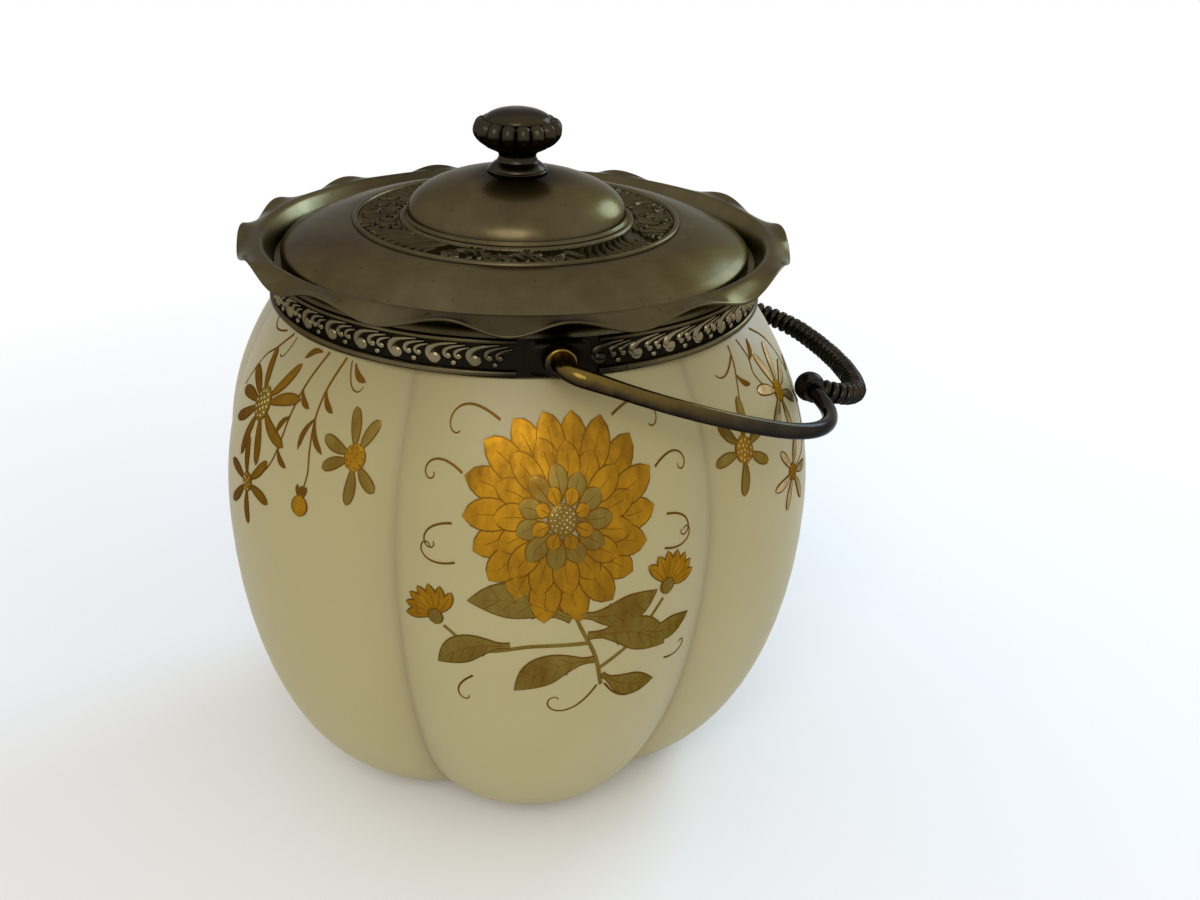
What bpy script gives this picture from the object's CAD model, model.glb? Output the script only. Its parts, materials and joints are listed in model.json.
"""Dresses the packed biscuit jar: opal glass, gilt flowers, plated metal and a wound grip."""
import json
import math
from contextlib import contextmanager

import bpy
from bpy.props import FloatProperty, FloatVectorProperty, IntProperty, PointerProperty
from bpy.types import Operator, Panel, PropertyGroup
from mathutils import Matrix, Vector


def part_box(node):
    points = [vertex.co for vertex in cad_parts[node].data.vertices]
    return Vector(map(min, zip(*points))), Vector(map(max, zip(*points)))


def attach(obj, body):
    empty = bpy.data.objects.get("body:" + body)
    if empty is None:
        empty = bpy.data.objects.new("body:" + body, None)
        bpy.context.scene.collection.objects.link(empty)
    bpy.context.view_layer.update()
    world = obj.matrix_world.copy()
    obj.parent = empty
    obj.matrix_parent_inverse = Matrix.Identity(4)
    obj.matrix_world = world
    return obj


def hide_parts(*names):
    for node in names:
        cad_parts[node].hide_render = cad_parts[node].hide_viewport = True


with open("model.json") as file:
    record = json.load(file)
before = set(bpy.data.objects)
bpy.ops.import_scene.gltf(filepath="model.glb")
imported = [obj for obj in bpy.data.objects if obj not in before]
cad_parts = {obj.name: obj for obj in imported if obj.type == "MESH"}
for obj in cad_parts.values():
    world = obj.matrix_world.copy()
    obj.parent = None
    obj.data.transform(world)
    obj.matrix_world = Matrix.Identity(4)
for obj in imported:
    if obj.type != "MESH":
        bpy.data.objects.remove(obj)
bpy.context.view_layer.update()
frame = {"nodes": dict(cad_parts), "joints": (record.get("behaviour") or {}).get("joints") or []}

bl_info = {
    "name": "Biscuit Jar",
    "version": (1, 0, 0),
    "blender": (4, 5, 0),
    "location": "View3D > Sidebar > Biscuit Jar",
    "description": "Glass, gilding, metal ornament and wound grip of a biscuit jar",
    "category": "Object",
}

MM = 0.001
TURN = 2 * math.pi
PIVOT = Vector(frame["joints"][0]["pos_m"])

# Least half-width of a drawn stroke, in mm, and the depth at which an embossed one starts
THINNEST = 0.06
SUNK = -0.05
# Where the rays that lay a drawing on the jar start, in metres: out from the axis or up
FAR_OUT = 0.2
HIGH_UP = 0.3


# Sizes and colours that a user may change

def length(name, text, default):
    return FloatProperty(name=name, description=text, default=default * MM,
                         unit="LENGTH", subtype="DISTANCE", precision=5)


def angle(name, text, default):
    return FloatProperty(name=name, description=text, default=math.radians(default),
                         unit="ROTATION", subtype="ANGLE")


def share(name, text, default):
    return FloatProperty(name=name, description=text, default=default, min=0, max=1,
                         subtype="FACTOR")


def colour(name, text, default):
    return FloatVectorProperty(name=name, description=text, default=default, size=3,
                               min=0, max=1, subtype="COLOR")


class GlassLook(PropertyGroup):
    """Shape and colour of the glass body."""
    belly: length("Belly", "Radius over the lobes", 80.5)
    belly_height: length("Belly height", "Height of the widest place", 80)
    base: length("Base", "Radius of the flat underside", 37)
    shoulder: length("Shoulder", "Radius under the collar", 62.4)
    shoulder_height: length("Shoulder height", "Height of the shoulder", 132.6)
    neck: length("Neck", "Radius of the neck inside the collar", 57)
    neck_height: length("Neck height", "Height of the mouth", 142.2)
    wall: length("Wall", "Thickness of the glass", 3.6)
    floor: length("Floor", "Thickness of the bottom", 5)
    lobes: IntProperty(name="Lobes", description="Number of melon lobes", default=6, min=3)
    groove_high: share("Groove at the shoulder", "Depth as a share of the radius", 0.03)
    groove_low: share("Groove at the foot", "Depth as a share of the radius", 0.15)
    ivory: colour("Ivory", "Main colour of the opal glass", (0.405, 0.352, 0.168))
    shade: colour("Shade", "Colour of its warmer, denser places", (0.322, 0.266, 0.110))
    crease: colour("Crease", "Colour along the valleys", (0.17, 0.125, 0.05))


class GiltLook(PropertyGroup):
    """Sizes and colours of the painted gilding."""
    relief: length("Relief", "How far the gilding stands out", 0.14)
    outline: length("Outline", "Width of the drawn outlines", 0.34)
    dot: length("Dot", "Radius of the raised dots", 0.42)
    gold: colour("Gold", "Bright orange gold", (0.37, 0.180, 0.009))
    bronze: colour("Bronze", "Dark bronze gold", (0.20, 0.105, 0.012))
    olive: colour("Olive", "Greenish gold", (0.20, 0.145, 0.03))
    umber: colour("Umber", "Brown of the outlines", (0.13, 0.060, 0.006))
    pale: colour("Pale", "Thin pale gold", (0.68, 0.53, 0.27))


class CollarLook(PropertyGroup):
    """Sizes of the collar's ornament and of its ears."""
    radius: length("Band radius", "Outer radius of the band", 62.2)
    field: length("Field", "Height of the ornament's lower edge", 134.8)
    repeats: IntProperty(name="Repeats", description="Drops in a full round", default=42)
    relief: length("Relief", "Height of the ornament", 0.5)
    plate: length("Plate", "Half the width of the plate at an ear", 7.7)
    plate_height: length("Plate height", "Half the height of that plate", 4.45)
    plate_wall: length("Plate wall", "Thickness of that plate", 1.6)
    boss: length("Boss", "Radius of the hole for the boss", 3.7)


class RimLook(PropertyGroup):
    """Sizes of the scalloped rim."""
    foot: length("Foot height", "Height of the rim's foot", 142)
    crest: length("Crest", "Rise of the crest above the foot", 6.6)
    edge: length("Edge", "Reach of the edge", 8.1)
    lift: length("Lift", "Rise of the edge's high places above the crest", 0.4)
    fall: length("Fall", "Drop of the edge from its high to its low places", 3.4)


class LidLook(PropertyGroup):
    """Sizes of the lid and its knob."""
    edge: length("Edge", "Radius of the lid", 59.8)
    seat: length("Seat", "Height of the lid's lower edge", 143.3)
    rise: length("Rise", "Height of the ornament ring above the seat", 8.8)
    ring: length("Ring", "Outer radius of the ornament ring", 41.8)
    dome: length("Dome", "Radius of the dome", 28)
    dome_rise: length("Dome rise", "Height of the dome", 11.35)
    metal: length("Metal", "Thickness of the spun lid", 1.2)
    hole: length("Hole", "Radius of the hole for the stud", 1.65)
    relief: length("Relief", "Height of the ring's ornament", 0.52)
    sprays: IntProperty(name="Sprays", description="Repeats of the ring's ornament", default=4)
    head: length("Knob", "Largest radius of the knob", 11.3)
    gadroons: IntProperty(name="Gadroons", description="Gadroons of the knob", default=16)
    gadroon: length("Gadroon", "Depth of the grooves between the gadroons", 1.1)


class GripLook(PropertyGroup):
    """Sizes of the wound grip."""
    droop: angle("Droop", "Angle at which the bail rests", 18.2517)
    start: FloatVectorProperty(name="Knuckle", description="Place of a knuckle along the bail",
                               default=(75.746 * MM, 31.148 * MM), size=2, unit="LENGTH")
    knuckle: length("Knuckle", "Radius of a knuckle", 3.9)
    bend: length("Bend", "Radius of the bend beside a knuckle", 15)
    turn: angle("Turn", "Angle of that bend", 72)
    radius: length("Radius", "Outer radius of the winding", 2.95)
    pitch: length("Pitch", "Distance from turn to turn", 2.4)


class MetalLook(PropertyGroup):
    """Colours of the metals."""
    pewter: colour("Pewter", "Worn places of the plate", (0.100, 0.081, 0.038))
    tarnish: colour("Tarnish", "Warm brown tarnish", (0.054, 0.037, 0.012))
    black: colour("Black", "Tarnish in the recesses", (0.008, 0.006, 0.004))
    bright: colour("Bright", "Rubbed relief", (0.215, 0.175, 0.098))
    iron: colour("Iron", "Dark wire and knuckles", (0.026, 0.022, 0.015))
    ground: colour("Ground", "Ground of the embossed band", (0.010, 0.008, 0.005))
    brass: colour("Brass", "Aged brass", (0.150, 0.095, 0.014))
    steel: colour("Steel", "Plain steel", (0.46, 0.46, 0.45))
    plaster: colour("Plaster", "Plaster of Paris", (0.70, 0.66, 0.56))


class StageLook(PropertyGroup):
    """Lamps and backdrop."""
    sky: FloatProperty(name="Sky", description="Strength of the plain soft light",
                       default=0.7, min=0)
    key: FloatProperty(name="Key", description="Power of the lamp behind, at the right",
                       default=3.2, min=0, unit="POWER")
    fill: FloatProperty(name="Fill", description="Power of the wide lamp in front",
                        default=4.2, min=0, unit="POWER")
    floor: colour("Floor", "Colour of the floor", (0.92, 0.92, 0.92))


LOOKS = {
    "jar_glass": GlassLook, "jar_gilt": GiltLook, "jar_collar": CollarLook,
    "jar_rim": RimLook, "jar_lid": LidLook, "jar_grip": GripLook,
    "jar_metal": MetalLook, "jar_stage": StageLook,
}


# Modelling

def deselect():
    bpy.ops.object.select_all(action="DESELECT")


def choose(*pieces):
    deselect()
    for piece in pieces:
        piece.select_set(True)
    bpy.context.view_layer.objects.active = pieces[0]


@contextmanager
def editing(piece):
    choose(piece)
    bpy.ops.object.mode_set(mode="EDIT")
    bpy.ops.mesh.select_all(action="SELECT")
    yield
    bpy.ops.object.mode_set(mode="OBJECT")


def added(name):
    """The object just made, under its own name."""
    piece = bpy.context.active_object
    piece.name = name
    piece.data.name = name
    return piece


def close_up(piece):
    """Merges doubles and turns the faces outwards."""
    with editing(piece):
        bpy.ops.mesh.remove_doubles(threshold=1e-6)
        bpy.ops.mesh.normals_make_consistent(inside=False)


def modify(piece, kind, **settings):
    """Adds a modifier and applies it."""
    choose(piece)
    modifier = piece.modifiers.new(kind.title(), kind)
    for key, value in settings.items():
        setattr(modifier, key, value)
    bpy.ops.object.modifier_apply(modifier=modifier.name)


def joined(name, pieces):
    """All the pieces as one."""
    choose(*pieces)
    bpy.ops.object.join()
    return added(name)


def lathe(name, outline, steps):
    """Draws an outline of (radius, height) points in millimetres and spins it round Z."""
    deselect()
    bpy.ops.mesh.primitive_plane_add(size=MM)
    piece = added(name)
    with editing(piece):
        bpy.ops.mesh.merge(type="CENTER")
        place = Vector((0, 0, 0))
        for i, (radius, height) in enumerate(outline):
            step = Vector((radius, 0, height)) * MM - place
            if i == 0:
                bpy.ops.transform.translate(value=step)
            else:
                bpy.ops.mesh.extrude_region_move(TRANSFORM_OT_translate={"value": step})
            place += step
        bpy.ops.mesh.select_all(action="SELECT")
        bpy.ops.mesh.spin(steps=steps, angle=TURN, center=(0, 0, 0), axis=(0, 0, 1))
    close_up(piece)
    return piece


def reshape(piece, rule):
    """Moves each vertex by a rule on its radius, azimuth in degrees and height in mm."""
    for vertex in piece.data.vertices:
        x, y, z = vertex.co / MM
        azimuth = math.atan2(x, -y)
        radius, z = rule(math.hypot(x, y), math.degrees(azimuth), z)
        vertex.co = Vector((radius * math.sin(azimuth), -radius * math.cos(azimuth), z)) * MM


def smooth_path(points, count):
    """Points spaced along a smooth curve through the given points."""
    ends = [points[0]] + list(points) + [points[-1]]
    path = []
    for k in range(count + 1):
        t = k / count * (len(points) - 1)
        i = min(int(t), len(points) - 2)
        t -= i
        near = ends[i:i + 4]
        path.append(tuple(
            0.5 * (2 * b + (c - a) * t + (2 * a - 5 * b + 4 * c - d) * t ** 2
                   + (3 * b - a - 3 * c + d) * t ** 3)
            for a, b, c, d in zip(*near)))
    return path


def toward(heading):
    """A step of length 1 across a drawing."""
    return Vector((math.cos(heading), math.sin(heading)))


def bowed_path(root, tip, bow, rows):
    """Points from root to tip, bowed aside by a share of the way between them."""
    root, tip = Vector(root), Vector(tip)
    side = Vector((tip.y - root.y, root.x - tip.x)) * bow
    return [tuple(root.lerp(tip, t / rows) + side * math.sin(math.pi * t / rows))
            for t in range(rows + 1)]


def stroke(path, half_widths, edge, crown, rim=0.0, round_off=2):
    """One leaf, petal or line, drawn upright in front of the jar: X across, Z up, -Y out.
    It rises from the height of its edge to that of its crown. With a rim, the border of
    that width takes the piece's second material."""
    rows = len(path) - 1
    columns = 6 if rim else 4
    outermost = columns // 2
    deselect()
    bpy.ops.mesh.primitive_grid_add(x_subdivisions=columns, y_subdivisions=rows, size=2)
    piece = added("stroke")
    for vertex in piece.data.vertices:
        row = round((vertex.co.y + 1) / 2 * rows)
        side = round((vertex.co.x + 1) / 2 * columns) - outermost
        before, after = path[max(0, row - 1)], path[min(rows, row + 1)]
        way = Vector((after[0] - before[0], after[1] - before[1])).normalized()
        half = max(half_widths[row], THINNEST)
        inner = max(half - rim, half * 0.3) if rim else half
        on_rim = rim and abs(side) == outermost
        across = math.copysign(half if on_rim else inner * abs(side) / 2, side)
        lift = edge if on_rim else edge + (crown - edge) * (1 - abs(across / half) ** round_off)
        vertex.co = Vector((path[row][0] + across * way.y, -lift,
                            path[row][1] - across * way.x)) * MM
    if rim:
        for face in piece.data.polygons:
            if face.index % columns in (0, columns - 1):
                face.material_index = 1
    return piece


def petal_widths(rows, half, base=0.25, sharp=0.6):
    """Half-widths from the root of a petal to its tip."""
    return [half * max(base * (1 - t / rows), math.sin(math.pi * (t / rows) ** 1.3) ** sharp)
            for t in range(rows + 1)]


def curl_path(start, heading, reach, turn, count=26):
    """A line that leaves at a heading in degrees and winds up, by a turn in all."""
    place, way = Vector(start), math.radians(heading)
    path = [tuple(place)]
    for k in range(count):
        t = (k + 0.5) / count
        way += math.radians(turn) / count * (0.2 + 2.4 * t * t)
        place += toward(way) * reach / count * (1.3 - 0.6 * t)
        path.append(tuple(place))
    return path


def bead(x, z, radius, height, around=8, over=4):
    """A raised dot, drawn upright in front of the jar too."""
    deselect()
    bpy.ops.mesh.primitive_uv_sphere_add(segments=around, ring_count=over, radius=radius * MM,
                                         rotation=(math.pi / 2, 0, 0))
    piece = added("bead")
    bpy.ops.object.transform_apply(location=False, rotation=True, scale=False)
    for vertex in piece.data.vertices:
        vertex.co.y *= height / radius
    piece.data.transform(Matrix.Translation((x * MM, 0, z * MM)))
    return piece


def lay_on(piece, target, aim):
    """Wraps a drawing on a target. The aim gives a ray for each place of the drawing."""
    for vertex in piece.data.vertices:
        start, way = aim(vertex.co.x, vertex.co.z)
        hit, place, normal, _ = target.ray_cast(start, way)
        if not hit:
            raise RuntimeError(f"{piece.name} misses {target.name}")
        vertex.co = place - normal * vertex.co.y


def outward(azimuth):
    """A level step of length 1 away from the axis."""
    return Vector((math.sin(azimuth), -math.cos(azimuth), 0))


def aim_round(azimuth, radius):
    """Rays towards the axis, for a drawing wrapped round it."""
    def aim(x, z):
        out = outward(azimuth + x / radius)
        return out * FAR_OUT + Vector((0, 0, z)), -out
    return aim


def aim_down(azimuth, radius):
    """Rays from above, for a drawing bent round the axis, its top inwards."""
    def aim(x, z):
        out = outward(azimuth + x / radius)
        return out * (radius - z) + Vector((0, 0, HIGH_UP)), Vector((0, 0, -1))
    return aim


def turned_copies(piece, count, step):
    """Adds copies inside the piece's mesh, each turned by one more step about Z."""
    with editing(piece):
        bpy.ops.mesh.spin(steps=count, dupli=True, angle=-count * step,
                          center=(0, 0, 0), axis=(0, 0, 1))


def turned_copy(piece, name, turn):
    """A copy of its own mesh, turned about Z."""
    choose(piece)
    bpy.ops.object.duplicate()
    copy = added(name)
    copy.data.transform(Matrix.Rotation(turn, 4, "Z"))
    return copy


def finished(piece, body, finish=None, replaced=None, *, smooth):
    """Gives a piece its shading, its place in the frame and, where they are named, its
    finish and the node that it replaces."""
    choose(piece)
    bpy.ops.object.shade_smooth_by_angle(angle=math.radians(smooth))
    if finish:
        piece.data.materials.append(bpy.data.materials[finish])
    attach(piece, body)
    if replaced:
        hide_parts(replaced)


# Materials

class Value:
    """A socket of a finish; an expression on it adds its Math nodes."""

    def __init__(self, finish, socket):
        self.finish = finish
        self.socket = socket

    def __add__(self, other):
        return self.finish.math("ADD", self, other)

    def __radd__(self, other):
        return self.finish.math("ADD", other, self)

    def __sub__(self, other):
        return self.finish.math("SUBTRACT", self, other)

    def __rsub__(self, other):
        return self.finish.math("SUBTRACT", other, self)

    def __mul__(self, other):
        return self.finish.math("MULTIPLY", self, other)

    def __rmul__(self, other):
        return self.finish.math("MULTIPLY", other, self)

    def __truediv__(self, other):
        return self.finish.math("DIVIDE", self, other)

    def __pow__(self, other):
        return self.finish.math("POWER", self, other)

    def kept(self, low, high):
        """0 at the low value and below, 1 at the high value and above."""
        return self.finish.node("ShaderNodeMapRange", {"clamp": True},
                                {0: self, 1: low, 2: high, 3: 0.0, 4: 1.0})


class Finish:
    """The nodes of one material, or of the sky."""

    def __init__(self, name, kind="materials"):
        self.owner = getattr(bpy.data, kind).new(name)
        self.owner.use_nodes = True
        self.tree = self.owner.node_tree
        self.tree.nodes.clear()

    def node(self, kind, settings, sockets, output=0):
        """Adds a node: its settings first, then the values or links of its sockets."""
        node = self.tree.nodes.new(kind)
        for key, value in settings.items():
            setattr(node, key, value)
        for key, value in sockets.items():
            if isinstance(value, Value):
                self.tree.links.new(value.socket, node.inputs[key])
            else:
                node.inputs[key].default_value = value
        return Value(self, node.outputs[output])

    def show(self, shader, kind="ShaderNodeOutputMaterial"):
        """Links a shader to the output."""
        out = self.tree.nodes.new(kind)
        self.tree.links.new(shader.socket, out.inputs["Surface"])

    def surface(self, sockets):
        """Makes the finish a Principled surface."""
        self.show(self.node("ShaderNodeBsdfPrincipled", {}, sockets))

    def math(self, operation, first, second):
        return self.node("ShaderNodeMath", {"operation": operation}, {0: first, 1: second})

    def place(self, scale=(1, 1, 1), shift=(0, 0, 0)):
        at = self.node("ShaderNodeTexCoord", {}, {}, "Object")
        return self.node("ShaderNodeMapping", {},
                         {"Vector": at, "Scale": scale, "Location": shift})

    def axis(self, k):
        return self.node("ShaderNodeSeparateXYZ", {}, {"Vector": self.place()}, k)

    def away(self, scale, shift=(0, 0, 0)):
        """Distance from a point, or from a line: the axes of scale 0 run along it."""
        return self.node("ShaderNodeVectorMath", {"operation": "LENGTH"},
                         {0: self.place(scale, shift)}, "Value")

    def below_bail(self, droop):
        """Depth below the plane in which the bail's wires lie at rest."""
        above = self.axis(0) * math.sin(droop) + (self.axis(2) - PIVOT.z) * math.cos(droop)
        return above * -1.0

    def noise(self, scale, detail=3.0, rough=0.55, stretch=(1, 1, 1), twist=0.0):
        """Clouds whose scale counts them per metre."""
        return self.node("ShaderNodeTexNoise", {}, {
            "Vector": self.place(stretch), "Scale": scale, "Detail": detail,
            "Roughness": rough, "Distortion": twist})

    def cells(self, scale):
        return self.node("ShaderNodeTexVoronoi", {}, {
            "Vector": self.place(), "Scale": scale}, "Distance")

    def hollow(self, distance):
        """1 in corners and grooves of the piece, 0 on its open places."""
        return 1 - self.node("ShaderNodeAmbientOcclusion",
                             {"only_local": True, "samples": 8},
                             {"Distance": distance * MM}, "AO")

    def backdrop_rays(self):
        """1 for the rays that show the backdrop: camera, mirror and glass rays."""
        rays = [self.node("ShaderNodeLightPath", {}, {}, name) for name in
                ("Is Camera Ray", "Is Glossy Ray", "Is Transmission Ray")]
        return (rays[0] + rays[1] + rays[2]).kept(0.0, 1.0)

    def blend(self, factor, first, second):
        """Mixes colours, which are a Mix node's sockets 6 and 7 and its output 2."""
        tones = {k: v if isinstance(v, Value) else (*v, 1)
                 for k, v in ((6, first), (7, second))}
        return self.node("ShaderNodeMix", {"data_type": "RGBA"}, {0: factor, **tones}, 2)

    def bump(self, height, depth, strength):
        return self.node("ShaderNodeBump", {}, {
            "Height": height, "Distance": depth * MM, "Strength": strength})


# Share of the white sheen that is left on worn metal seen edge-on
EDGE_TINT = (0.36, 0.35, 0.31, 1)
# The finishes of the gilding
GOLD, BRONZE, OLIVE = "Gold", "Bronze gold", "Olive gold"
PALE, BROWN = "Pale gold", "Brown gold"


def darker(tone, left):
    """A tone with a share of its brightness left."""
    return tuple(c * left for c in tone)


class FinishOperator(Operator):
    """Make the finishes of all pieces"""
    bl_idname = "biscuit_jar.finishes"
    bl_label = "Finishes"

    def execute(self, context):
        metal = context.scene.jar_metal
        gilt = context.scene.jar_gilt
        droop = context.scene.jar_grip.droop
        pewter, tarnish, black, iron = metal.pewter, metal.tarnish, metal.black, metal.iron
        opal_glass(context.scene.jar_glass)
        old_plate("Old plate", pewter, tarnish, black, rough=0.31)
        old_plate("Lid plate", pewter, tarnish, black, rough=0.33, soot=16, ring=(30.0, 40.2))
        old_plate("Rim plate", pewter, tarnish, black, rough=0.30, ears=26, aside=12,
                  patch=0.5)
        old_plate("Rubbed plate", metal.bright, pewter, black, rough=0.22, reach=0.4,
                  grime=0.9, ears=19)
        old_plate("Collar wire", pewter, tarnish, black, rough=0.29, ears=22)
        old_plate("Knob plate", darker(tarnish, 0.74), darker(iron, 0.8), black, rough=0.27)
        old_plate("Dark plate", iron, black, black, rough=0.30)
        old_plate("Collar ground", metal.ground, black, black, rough=0.42, coat=0.02)
        old_plate("Steel", metal.steel, metal.steel, pewter, rough=0.35)
        wound_wire("Wound wire", tarnish, iron, black, droop)
        bail_brass("Bail brass", metal.brass, iron, black, droop)
        for name, paint, rough in ((GOLD, gilt.gold, 0.46), (BRONZE, gilt.bronze, 0.36),
                                   (OLIVE, gilt.olive, 0.36), (PALE, gilt.pale, 0.34),
                                   (BROWN, gilt.umber, 0.45)):
            gilding(name, paint, gilt.umber, rough)
        plaster("Plaster", metal.plaster)
        return {"FINISHED"}


def opal_glass(look):
    """Satin ivory glass, clouded, with a darker line along each valley."""
    finish = Finish("Opal glass")
    cloud = finish.noise(14, 3, 0.5)
    grain = finish.noise(900, 2, 0.6)
    swing = finish.math("ARCTAN2", finish.axis(0), finish.axis(1) * -1.0)
    lobe = finish.math("FRACT", swing * (look.lobes / TURN) + 0.5, 0.0)
    side = finish.math("ABSOLUTE", lobe - 0.5, 0.0) * 2
    seam = side.kept(0.94, 1.0) ** 1.5 * 0.24 + side.kept(0.6, 1.0) ** 2 * 0.2
    warm = cloud.kept(0.35, 0.7) * 0.3 + finish.axis(2).kept(0.02, 0.125) * 0.7
    soiled = finish.axis(2).kept(0.110, 0.136) * 0.22
    worn = (seam + soiled + finish.hollow(9) * 0.5).kept(0.0, 1.0)
    finish.surface({
        "Base Color": finish.blend(worn, finish.blend(warm, look.ivory, look.shade), look.crease),
        "Roughness": 0.38 + cloud * 0.1,
        "IOR": 1.5,
        "Subsurface Weight": 0.15,
        "Subsurface Radius": (1.0, 0.8, 0.5),
        "Subsurface Scale": 2 * MM,
        "Normal": finish.bump(grain, 0.02, 0.35),
    })


def old_plate(name, bright, tarnish, black, rough, reach=2.2, grime=1.7, coat=0.16,
              soot=0, ears=0, aside=0, patch=1, ring=()):
    """Worn silver plate: soft clouds of tarnish, pitted, with grime in the hollows, which
    reach so many mm. Soot and ears are the radii in mm of dark patches round the knob and
    round the ears, if any. The ears' patches lie aside by some mm, and patch is their
    share of darkness. The ring is a band of dirt between two radii in mm."""
    finish = Finish(name)
    cloud = finish.noise(28, 4, 0.6, twist=0.6)
    smudge = finish.noise(110, 5, 0.65)
    streak = finish.noise(160, 2, 0.5, stretch=(1, 1, 6))
    hollow = finish.hollow(reach)
    worn = finish.blend((cloud * 0.75 + smudge * 0.35).kept(0.36, 0.74), bright, tarnish)
    pits = finish.noise(420, 2, 0.5).kept(0.68, 0.76) * 0.4
    dirt = (hollow * grime + (smudge - 0.5) * 0.4).kept(0.12, 0.85) + pits
    if soot:
        away = finish.away((1, 1, 0)) / (soot * MM)
        dirt = dirt + (1.55 - away - cloud * 0.9 - smudge * 0.3).kept(0.0, 0.5)
    if ears:
        away = finish.away((1, 0, 1), (aside * MM, 0, -PIVOT.z)) / (ears * MM)
        dirt = dirt + (1.15 - away + (smudge - 0.5) * 0.3).kept(0.0, 0.6) * patch
    if ring:
        start, end = ring
        away = finish.away((1, 1, 0)) / MM
        inside = away.kept(start, start + 0.5) * (1 - away.kept(end - 0.5, end))
        dirt = dirt + inside * 0.34
    dirt = dirt.kept(0.0, 1.0)
    finish.surface({
        "Base Color": finish.blend(dirt * 0.92, worn, black),
        "Metallic": 1.0,
        "Roughness": rough + (cloud - 0.5) * 0.16 + (smudge - 0.5) * 0.14 + hollow * 0.25,
        "Specular Tint": EDGE_TINT,
        "Coat Weight": coat - dirt * coat * 0.6,
        "Coat Roughness": 0.2,
        "Normal": finish.bump(smudge * 0.7 + streak * 0.3, 0.05, 0.3),
    })


def wound_wire(name, bright, iron, black, droop):
    """Nearly black wire, rubbed on the outside of each turn."""
    finish = Finish(name)
    hollow = finish.hollow(0.9)
    smudge = finish.noise(140, 4, 0.6)
    low = finish.below_bail(droop).kept(-1.6 * MM, 1.6 * MM)
    rubbed = (1 - hollow * 2.6 - smudge * 0.9 - low * 0.7).kept(0.25, 0.85)
    finish.surface({
        "Base Color": finish.blend(rubbed * 0.75, finish.blend(0.4 + smudge, iron, black), bright),
        "Metallic": 1.0,
        "Roughness": 0.25 - rubbed * 0.09,
        "Specular Tint": EDGE_TINT,
        "Coat Weight": 0.16,
        "Coat Roughness": 0.12,
        "Normal": finish.bump(smudge, 0.04, 0.3),
    })


def bail_brass(name, brass, grey, black, droop):
    """Brass near the ears that turns dark along the arms."""
    finish = Finish(name)
    cloud = finish.noise(60, 4, 0.6)
    spots = finish.noise(260, 3, 0.6)
    worn = (finish.axis(0) * 13 + cloud * 0.4).kept(0.2, 0.85)
    tint = finish.blend(worn, brass, grey)
    low = finish.below_bail(droop).kept(-1.5 * MM, 0.8 * MM)
    grime = (low * 0.85 + (spots * 1.2 - 0.35).kept(0.2, 0.8) * 0.5).kept(0.0, 1.0)
    finish.surface({
        "Base Color": finish.blend(grime, tint, black),
        "Metallic": 1.0,
        "Roughness": 0.15 + spots * 0.1,
        "Specular Tint": EDGE_TINT,
        "Coat Weight": 0.14,
        "Coat Roughness": 0.12,
        "Normal": finish.bump(spots, 0.04, 0.3),
    })


def gilding(name, gold, brown, rough):
    """Painted gold with worn specks and brush marks."""
    finish = Finish(name)
    cloud = finish.noise(55, 3, 0.55)
    brush = finish.noise(420, 4, 0.6, stretch=(1, 1, 0.25))
    specks = finish.cells(650)
    paint = finish.blend((cloud * 0.6 + brush * 0.5).kept(0.42, 0.78), gold, brown)
    finish.surface({
        "Base Color": finish.blend((1 - specks * 4.5).kept(0.45, 0.7) * 0.6, paint, brown),
        "Metallic": 0.95,
        "Roughness": rough + (brush - 0.5) * 0.2,
        "Specular Tint": EDGE_TINT,
        "Normal": finish.bump(brush, 0.04, 0.5),
    })


def plaster(name, white):
    """Rough plaster of Paris."""
    finish = Finish(name)
    grain = finish.noise(700, 4, 0.6)
    finish.surface({
        "Base Color": finish.blend(grain.kept(0.3, 0.8), white, darker(white, 0.8)),
        "Roughness": 0.92,
        "Normal": finish.bump(grain, 0.15, 0.6),
    })


# Glass

# How flat the belly is at its widest place, and how broad the crest of a lobe
BELLY_POWER = 2.25
LOBE_POWER = 1.85


def valley(azimuth, lobes):
    """0 on the crest of a lobe, 1 in the valley beside it."""
    half = 180 / lobes
    return abs((azimuth + half) % (2 * half) - half) / half


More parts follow.
